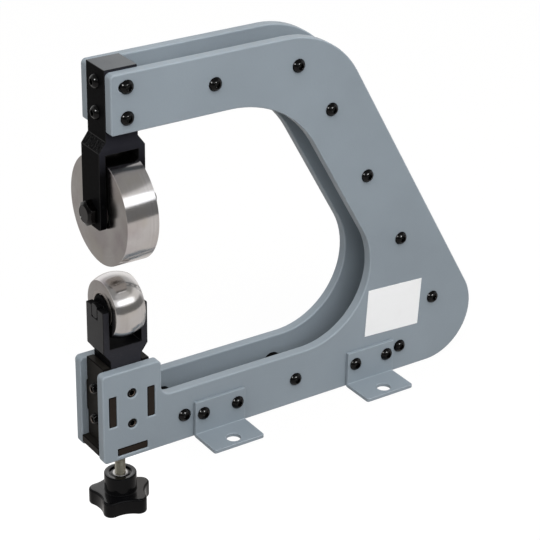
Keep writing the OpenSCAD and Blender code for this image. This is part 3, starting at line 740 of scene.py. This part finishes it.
def button_rows(shank_d, head_d, head_h, length):
    """Rows of (along, radius, share of hexagon), from the shank's tip to the socket. The
    dome is an arc through the rim and the edge of the small flat on top: its centre lies
    drop below the seat."""
    edge, top_r, socket = 0.12 * head_h, 0.25 * head_d, 0.19 * head_d
    drop = (head_d ** 2 / 4 + edge ** 2 - top_r ** 2 - head_h ** 2) / (2 * (head_h - edge))
    dome_r = math.hypot(head_d / 2, edge + drop)
    start, end = math.atan2(edge + drop, head_d / 2), math.atan2(head_h + drop, top_r)
    turn = np.linspace(start, end, 12)
    dome = np.stack([dome_r * np.sin(turn) - drop, dome_r * np.cos(turn), 0 * turn], -1)
    shank = [(-length, 0, 0), (-length, 0.40 * shank_d, 0),
             (-length + 0.1 * shank_d, 0.5 * shank_d, 0), (0, 0.5 * shank_d, 0),
             (0, 0.47 * head_d, 0), (0.3 * edge, 0.495 * head_d, 0)]
    floor = 0.42 * head_h
    hollow = [(head_h, socket * 1.12, 0.2), (0.94 * head_h, socket * 1.02, 0.9),
              (0.88 * head_h, socket, 1), (floor, socket, 1),
              (floor - 0.02 * head_h, socket * 0.9, 1), (floor - 0.1 * head_h, 0, 1)]
    return np.concatenate([shank, dome, hollow])


def turned_on(local, angle):
    """Local points turned about their own axis."""
    along, across, up = np.moveaxis(local, -1, 0)
    return np.stack([along, across * math.cos(angle) - up * math.sin(angle),
                     across * math.sin(angle) + up * math.cos(angle)], -1)


# %% [markdown]
# Nobody tightens screws to the same angle, so sockets that all look alike would give the
# model away. Random turns would do, but each run would need the same seed. Instead each
# screw is turned on from the last by 137.5 degrees, which never comes round to the same
# place.

# %% Round-headed screws
head_h, screw_d = 3.3 * MM, 2 * screw_r
next_turn = math.radians(137.5)
near, far, front = (0, -1, 0), (0, 1, 0), (-1, 0, 0)


def screws(node, direction):
    """A round-headed screw for every solid, each turned on from the last."""
    axis = int(np.argmax(np.abs(direction)))
    sense = direction[axis]
    made = []
    for number, (low, high) in enumerate(solids_in(node)):
        seat = (low + high) / 2
        seat[axis] = (high if sense > 0 else low)[axis] - sense * head_h
        head_d = (high - low)[(axis + 1) % 3]
        local = socketed(button_rows(screw_d, head_d, head_h, (high - low)[axis] - head_h))
        made.append(stand(turned_on(local, number * next_turn), seat, direction))
    dress(lattice(node + "_heads", np.array(made), closed=False), node)
    print(node + ":", len(made), "with heads of", round(head_d / MM, 1), "mm")


for node in ("frame_screws", "head_screws", "foot_screws"):
    screws(node + "_near", near)
    screws(node + "_far", far)
screws("front_screws", front)

# %% [markdown]
# ## Threads
# A thread is a ridge that climbs one pitch in a turn. It could be a small triangle swept
# along a helix, but the sweep would still have to be joined to the rod. Here the rod's own
# radius carries it. The radius at a height and an angle depends only on height minus pitch
# times the share of a turn, so one triangle wave gives the whole screw. The set screws,
# the lift screw and the axle bolt all share it.

# %% Threads and set screws
coarse_pitch, socket_deep = 1.25 * MM, 3.0 * MM
mouth_deep, mouth_share = 0.5 * MM, 0.68


def thread(start, end, radius, pitch, columns, taper, per_turn=12):
    """Rows of height and radius for a thread, which fades out at both ends. The wave is
    cut off at crest and root, and it is 0.54 of the pitch deep."""
    along = np.linspace(start, end, int((end - start) / pitch * per_turn) + 2)[:, None]
    phase = (along / pitch - turns(columns) / (2 * np.pi)) % 1
    ridge = np.clip(1.35 * (1 - np.abs(2 * phase - 1)) - 0.12, 0, 1)
    fade = 1 - np.minimum(along - start, end - along) / taper
    return along, radius - 0.54 * pitch * np.maximum(1 - ridge, fade)


def set_screws(node, direction):
    """Headless screws: a threaded body, a hexagon socket, and a lighter ring round its mouth,
    a painted highlight, which is every face that is shallow enough and near enough to a
    screw's axis."""
    axis = int(np.argmax(np.abs(direction)))
    made, fronts = [], []
    for low, high in solids_in(node):
        face = (low + high) / 2
        face[axis] = (high if direction[axis] > 0 else low)[axis]
        fronts.append(face)
        radius, depth = (high - low)[(axis + 1) % 3] / 2, (high - low)[axis]
        along, ridges = thread(-depth, 0, radius, coarse_pitch, 72, 0.6 * MM)
        tip = socketed([(-depth, 0, 0)])
        hollow = socketed([(0, 0.66 * radius, 0.1), (-0.3 * MM, 0.58 * radius, 0.9),
                           (-0.6 * MM, 0.55 * radius, 1), (-socket_deep, 0.55 * radius, 1),
                           (-socket_deep - 0.4 * MM, 0, 1)])
        local = np.concatenate([tip, spun(along, ridges, 72), hollow])
        made.append(stand(local, face, direction))
    piece = lattice(node + "_sockets", np.array(made), closed=False)
    away = np.abs(read(piece.data.polygons, "center", 3)[:, None] - np.array(fronts))
    shallow = away[:, 0, axis] < mouth_deep
    away[:, :, axis] = 0
    mouth = shallow & (np.linalg.norm(away, axis=-1).min(1) < mouth_share * radius)
    dress(piece, node, mouth)
    print(node + ":", len(made), "with", mouth.sum(), "painted highlight faces")


set_screws("clamp_screws_near", near)
set_screws("clamp_screws_far", far)
set_screws("guide_screws", front)

# %% [markdown]
# The lift screw hangs below the base plate, and its bare thread shows above the knob. The
# same rows make it, with a finer grid along it, because it is seen close to.

# %% The lift screw
low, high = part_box("lift_screw")
middle = centre_of("lift_screw")
lift_r, columns = size_of("lift_screw")[0] / 2, 40
along, ridges = thread(low[2], high[2], lift_r, coarse_pitch, columns, 1.0 * MM)
ends = spun(np.array([[low[2]], [high[2]]]), 0.0, columns)
rod = np.concatenate([ends[:1], spun(along, ridges, columns), ends[1:]])
rod = stand(rod, (middle[0], middle[1], 0), z_axis)
dress(lattice("lift_screw_thread", rod[None], closed=False, sharp=60), "lift_screw")
print("lift screw:", round((high[2] - low[2]) / MM, 1), "mm long")

# %% [markdown]
# ## The axle bolt and its nut
# A hexagon head is a prism whose corners are cut back by a shallow cone. The two could be
# modelled apart and intersected. It is simpler to take, at each height and angle, the
# smaller of two radii, the hexagon's and the cone's, so that the curved corner cuts
# appear by themselves.

# %% Hexagon heads
hex_columns = 144
cone_slope = math.tan(math.radians(30))


def hex_rows(low, high, flats):
    """Heights and radii of a hexagon from low to high, its corners cut back at high."""
    cut = 0.12 * flats
    along = np.concatenate([[low], np.linspace(high - cut, high, 10)])[:, None]
    cone = 0.37 * flats + (high - along) / cone_slope
    return along, np.minimum(hexagon(turns(hex_columns), flats), cone)


def flat_row(along, radius):
    """One flat row, used to close an end or to step to another radius."""
    return spun(np.array([[along]]), radius, hex_columns)


# %% The bolt
low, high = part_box("upper_axle_bolt")
leg_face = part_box("upper_fork")[0][0]
flats = size_of("upper_axle_bolt")[1]
head, length = leg_face - low[0], high[0] - leg_face
threaded, bolt_pitch, dish = 26 * MM, 1.5 * MM, 0.2 * MM
along, ridges = thread(-length, threaded - length, bolt_r, bolt_pitch, hex_columns, 1.0 * MM)
hex_along, hex_radius = hex_rows(0.15 * MM, head, flats)
bolt = np.concatenate([
    flat_row(-length, 0), spun(along, ridges, hex_columns),
    flat_row(threaded - length, bolt_r), flat_row(0, bolt_r), flat_row(0, 0.47 * flats),
    spun(hex_along, hex_radius, hex_columns), flat_row(head, 0.36 * flats),
    flat_row(head - dish, 0.35 * flats), flat_row(head - dish, 0)])
axle = centre_of("upper_axle_bolt")
bolt = stand(turned_on(bolt, math.radians(90)), (leg_face, axle[1], axle[2]), front)
dress(lattice("upper_axle_bolt_hexagon", bolt[None], closed=False), "upper_axle_bolt")
print("axle bolt:", round(flats / MM, 1), "mm across flats,", round(length / MM, 1), "mm long")

# %% The nut
low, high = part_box("upper_axle_nut")
thick, countersink = high[0] - low[0], 0.5 * MM
hex_along, hex_radius = hex_rows(0.0, thick, flats)
nut = np.concatenate([flat_row(0, bolt_r), spun(hex_along, hex_radius, hex_columns),
                      flat_row(thick, 1.1 * bolt_r), flat_row(thick - countersink, bolt_r)])
nut = stand(nut, (low[0], axle[1], axle[2]), x_axis)
dress(lattice("upper_axle_nut_hexagon", nut[None]), "upper_axle_nut")
print("axle nut:", round(thick / MM, 1), "mm thick")

# %% [markdown]
# ## The star knob
# Seen from above, the knob is five lobes joined by five hollows, each an arc of a circle.
# Five cylinders joined to a hub, with five cut away, would give that outline too, but no
# soft rim. As a radius at each angle, the outline can be drawn in row by row: the radius
# is where a ray from the axis leaves the lobe circle, or where it meets the hollow circle.

# %% Outline of the knob
knob_r, lobe_r, valley_r = 24 * MM, 6 * MM, 18.5 * MM
star_h, hub_r = 12.5 * MM, 12.25 * MM
lobes, first_lobe = 5, math.radians(1.3)


def star_outline(angle):
    """Radius of the star. At a turn w from the nearest lobe, the lobe circle is met at
    c cos w plus the root of r^2 - (c sin w)^2, and the hollow's circle, at a turn w' from
    its own middle, at d cos w' less the root of its r^2 - (d sin w')^2."""
    half = np.pi / lobes
    w = (angle - first_lobe + half) % (2 * half) - half
    centre = knob_r - lobe_r
    top = lobe_r ** 2 - centre ** 2 - valley_r ** 2 + 2 * centre * valley_r * math.cos(half)
    hollow_r = top / (2 * (valley_r - centre * math.cos(half) - lobe_r))
    hollow = valley_r + hollow_r
    past = np.sqrt(np.maximum(lobe_r ** 2 - (centre * np.sin(w)) ** 2, 0))
    short = half - np.abs(w)
    before = np.sqrt(np.maximum(hollow_r ** 2 - (hollow * np.sin(short)) ** 2, 0))
    joint = math.atan2(lobe_r * hollow * math.sin(half),
                       centre * hollow_r + lobe_r * hollow * math.cos(half))
    return np.where(np.abs(w) < joint, centre * np.cos(w) + past,
                    hollow * np.cos(short) - before)


columns = 360
star = star_outline(turns(columns))
print("knob:", round(2 * star.max() / MM, 1), "mm over the lobes")

# %% [markdown]
# Going up, the outline starts in a shallow dish underneath, and its lower and upper rims
# are quarter circles. Then it runs in to the round hub, which ends in a raised ring round
# the insert. A bevel would round all rims alike. As rows of one grid, each rim has its own
# size, a quarter circle being 1 - sin t one way and 1 - cos t the other.

# %% Body of the knob
low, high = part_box("knob")
foot, shelf, top = low[2], low[2] + star_h, high[2]
lower_rim, rim, fillet, hub_rim = 1.0 * MM, 1.8 * MM, 0.4 * MM, 0.9 * MM
bore_r, bore_deep = 5.76 * MM, 12.7 * MM


def quarter(steps):
    """Pairs of 1 - sin t and 1 - cos t, from 0 to a quarter turn."""
    return [(1 - math.sin(t), 1 - math.cos(t)) for t in np.linspace(0, np.pi / 2, steps)]


circle = 0 * star
rows = [(foot + 1.2 * MM, circle), (foot + 1.2 * MM, circle + 9.0 * MM),
        (foot + 0.3 * MM, circle + 10.0 * MM), (foot, circle + 10.8 * MM)]
rows += [(foot + lower_rim * c, star - lower_rim * s) for s, c in quarter(6)]
rows += [(shelf - rim * s, star - rim * c) for s, c in quarter(8)]
rows += [(shelf, (1 - share) * (star - rim) + share * (hub_r + fillet))
         for share in (0.35, 0.7)]
rows += [(shelf + fillet * c, circle + hub_r + fillet * s) for s, c in quarter(6)]
rows += [(top - hub_rim * s, circle + hub_r - hub_rim * c) for s, c in quarter(6)]
rows += [(top - down * MM, circle + radius * MM) for down, radius in (
    (0, 8.7), (0.15, 8.45), (1.0, 8.2), (1.0, 7.2), (0.8, 6.9))]
rows += [(top - 0.8 * MM, circle + bore_r), (top - bore_deep, circle + bore_r),
         (top - bore_deep, circle)]
height = np.array([row[0] for row in rows])[:, None]
knob = spun(height, np.concatenate([row[1] for row in rows]), columns)
knob = np.stack([knob[..., 1], knob[..., 2], knob[..., 0]], -1)
knob_axis = np.array([*centre_of("knob_insert")[:2], 0])
knob = lattice("knob_moulded", (knob + knob_axis)[None], closed=False, sharp=40)
dress_flats(knob, "knob", 2)
print("knob:", len(rows), "rows of", columns, "points")

# %% [markdown]
# A bright metal insert is moulded into the hub and holds the lift screw. It is one more
# ring, but its two rims are rounded more than its foot, and it wears the second zinc.

# %% Metal insert of the knob
low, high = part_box("knob_insert")
insert_r = size_of("knob_insert")[0] / 2
section = [(low[2], lift_r), (low[2], insert_r), (high[2], insert_r), (high[2], lift_r)]
section = soften(section, [0.1 * MM, 0.2 * MM, 0.5 * MM, 0.4 * MM])
insert = stand(spun(section[:, :1], section[:, 1:]), knob_axis, z_axis)
insert = lattice("knob_insert_turned", insert[None])
dress(insert, "knob_insert", np.full(len(insert.data.polygons), SECOND))
print("insert:", round(2 * insert_r / MM, 1), "mm across")

# %% [markdown]
# ## The studio
# The machine stands on a bench, and its head hangs over the edge so that the knob is free
# to turn. A pale floor could be lit until it is white, but then it would also light the
# machine from below. So the bench and the floor are a mid grey to the machine. To the
# camera they are white, and the bench keeps a trace of the shadows. To metal they are
# halfway, which is how bright the lower parts of the two treads look.

# %% Bench and floor
lit_grey = (0.35, 0.34, 0.33, 1)
mirrored_tone, seen_tone = (1.0, 0.965, 0.94, 1), (1, 1, 1, 1)
white_level = 1.13
mirrored_share = 0.54
bench_edge, bench_top, floor_top = -0.1135, -0.2 * MM, -0.30


def stage_material(name, seen_share):
    """A grey sheet, mixed with plain white by the kind of ray that meets it."""
    stage = Finish(name, Specular_IOR_Level=0.2, Roughness=0.7)
    stage.shader.inputs["Base Color"].default_value = lit_grey
    rays = stage.node("LightPath").outputs
    tone = stage.blend(rays["Is Camera Ray"], mirrored_tone, seen_tone)
    white = stage.node("Emission", {"Color": tone, "Strength": white_level}).outputs[0]
    seen = stage.math("MULTIPLY", rays["Is Camera Ray"], seen_share)
    mirrored = stage.math("MAXIMUM", rays["Is Glossy Ray"], rays["Is Transmission Ray"])
    share = stage.math("MAXIMUM", seen, stage.math("MULTIPLY", mirrored, mirrored_share))
    mixed = stage.node("MixShader", {0: share, 1: stage.shader.outputs[0], 2: white})
    out = stage.tree.nodes["Material Output"]
    stage.tree.links.new(mixed.outputs[0], out.inputs["Surface"])
    return stage.material


def sheet_at(name, x0, y0, height, material, reach=5.0):
    """A flat sheet from a front corner at x0 and y0 to far behind."""
    corners = [(x0, y0, height), (reach, y0, height), (reach, reach, height),
               (x0, reach, height)]
    mesh = bpy.data.meshes.new(name)
    mesh.from_pydata(corners, [], [(0, 1, 2, 3)])
    mesh.materials.append(material)
    add_object(name, mesh)
    print(name, "at", round(height / MM, 1), "mm")


sheet_at("bench", bench_edge, -1.1, bench_top, stage_material("white_bench", 0.84))
sheet_at("floor", -5.0, -2.6, floor_top, stage_material("white_floor", 1.0))

# %% [markdown]
# Polished wheels show the room around them, so the room is part of their finish. It could
# be a photograph of a studio. A few bands in a world graph are enough: a bright backdrop
# behind the machine, and in front of it a dark strip just above the horizon, a white wall
# over that, and a grey ceiling. The treads mirror the dark strip between the softbox
# above it and the floor below. height is the sine of a direction's angle above the
# horizon, and away is 1 straight behind the machine. The camera sees plain white.

# %% World
world = bpy.data.worlds.new("studio")
bpy.context.scene.world = world
world.use_nodes = True
world.node_tree.nodes.clear()
backward = (0.56, 0.83, 0)
strip_light, ceiling_light = 0.22, 0.38


def sky_node(kind, inputs=(), **settings):
    """One node in the world's graph."""
    return graph_node(world.node_tree, kind, inputs, **settings)


def sky_fit(value, low, high, to_low, to_high):
    """value taken from low..high to to_low..to_high, easing in and out."""
    inputs = {"Value": value, "From Min": low, "From Max": high,
              "To Min": to_low, "To Max": to_high}
    return sky_node("MapRange", inputs, interpolation_type="SMOOTHSTEP").outputs[0]


def sky_mix(factor, a, b):
    """Strength a where factor is 0, b where it is 1."""
    return sky_node("Mix", {0: factor, 2: a, 3: b}, data_type="FLOAT").outputs[0]


toward = sky_node("TexCoord").outputs["Generated"]
height = sky_node("SeparateXYZ", {0: toward}).outputs[2]
away = sky_node("VectorMath", {0: toward, 1: backward}, operation="DOT_PRODUCT")
backdrop = sky_fit(away.outputs["Value"], 0.25, 0.55, 0, 1)
wall = sky_fit(height, 0.28, 0.35, strip_light, 1.0)
front_room = sky_mix(sky_fit(height, 0.64, 0.70, 0, 1), wall, ceiling_light)
room = sky_mix(backdrop, front_room, sky_fit(height, 0.35, 0.65, 1.25, 0.65))
strength = sky_mix(sky_node("LightPath").outputs["Is Camera Ray"], room, 1.0)
background = sky_node("Background", {"Color": (1, 1, 1, 1), "Strength": strength})
sky_node("OutputWorld", {"Surface": background.outputs[0]})
print("world:", len(world.node_tree.nodes), "nodes")

# %% [markdown]
# Softboxes light the machine. A real one gives soft light and a reflection at once, and
# where one is wrong the other has to suffer. Here the two are kept apart, as a lamp can
# be left out of diffuse or of glossy light. The wide box gives the bright bar on both
# wheels, and its fill, the left box and the high box give the plates their light without
# a reflection. The two small cores give each screw head its two glints, and the glow
# lies over the bright bar on the anvil. Light linking keeps those three to the pieces
# that show them. A softbox is given by where it stands, and it faces the machine.

# %% Softboxes
machine_middle = (0.0, 0.0, 0.13)


def pieces_ending(name, endings):
    """A collection of the finished pieces whose names end in one of these ways."""
    chosen = bpy.data.collections.new(name)
    for piece in bpy.context.scene.objects:
        if piece.name.endswith(endings):
            chosen.objects.link(piece)
    return chosen


def softbox(name, place, width, height, power, tint=(1, 1, 1), lights=True, mirrored=True,
            only=None):
    """A rectangular lamp at place, facing the middle of the machine. Its brightness is its
    power over pi times its area, so a small lamp is a sharp, bright glint."""
    lamp = bpy.data.lights.new(name, "AREA")
    lamp.shape = "RECTANGLE"
    lamp.size, lamp.size_y = width, height
    lamp.energy, lamp.color = power, tint
    back = np.array(place) - machine_middle
    back /= np.linalg.norm(back)
    side = np.cross(z_axis, back)
    side /= np.linalg.norm(side)
    up = np.cross(back, side)
    holder = bpy.data.objects.new(name, lamp)
    columns = np.array([[*side, 0], [*up, 0], [*back, 0], [*place, 1]])
    holder.matrix_world = Matrix(columns.T.tolist())
    holder.visible_diffuse, holder.visible_glossy = lights, mirrored
    if only is not None:
        holder.light_linking.receiver_collection = only
    bpy.context.scene.collection.objects.link(holder)
    print(name, "stands", round(math.dist(place, machine_middle), 2), "m away")


fasteners = pieces_ending("screw_heads", ("_heads", "_sockets", "_hexagon"))
anvil = pieces_ending("anvil_only", "anvil_wheel_turned")
softbox("wide_softbox", (0.13, -1.27, 0.90), 1.7, 0.45, 3.6, (0.91, 0.96, 1.02))
softbox("wide_fill", (0.13, -1.27, 0.87), 1.7, 0.62, 1.85, mirrored=False)
softbox("left_softbox", (-1.21, -0.64, 1.14), 0.5, 0.5, 3.3, mirrored=False)
softbox("left_core", (-1.30, -0.42, 0.98), 0.3, 0.3, 15.0, lights=False, only=fasteners)
softbox("wide_core", (0.06, -1.24, 0.93), 0.36, 0.3, 20.0, lights=False, only=fasteners)
softbox("anvil_glow", (0.05, -1.18, 1.55), 1.7, 0.8, 1.2, lights=False, only=anvil)
softbox("high_softbox", (-0.15, -0.75, 1.35), 1.1, 0.9, 8.8, mirrored=False)

# %% [markdown]
# ## The camera
# The camera could be moved by eye until the picture looks right. Its place and lens were
# worked out instead, from the photograph's own straight edges and screw rows. The picture
# is 540 by 540 pixels, and the lens is given on a sensor of 36 mm. The three directions
# are the picture's right, its down, and straight ahead.

# %% Camera
camera_place = (-0.71909, -1.04023, 0.74532)
right = (0.8317594, -0.5548609, 0.0174828)
down = (-0.2375718, -0.3842400, -0.8921431)
ahead = (0.5017329, 0.7378950, -0.4514146)
picture = 540
focal_pixels = 1870.5
centre_x, centre_y = 269.95, 270.71
camera = bpy.data.cameras.new("camera")
camera.sensor_width = 36
camera.lens = focal_pixels / picture * camera.sensor_width
camera.shift_x = -(centre_x - picture / 2) / picture
camera.shift_y = (centre_y - picture / 2) / picture
camera.clip_start, camera.clip_end = 0.01, 60
holder = bpy.data.objects.new("camera", camera)
holder.matrix_world = Matrix([
    (right[i], -down[i], -ahead[i], camera_place[i]) for i in range(3)] + [(0, 0, 0, 1)])
bpy.context.scene.collection.objects.link(holder)
bpy.context.scene.camera = holder
bpy.context.scene.view_settings.view_transform = "Standard"
print("camera:", round(camera.lens, 1), "mm lens")
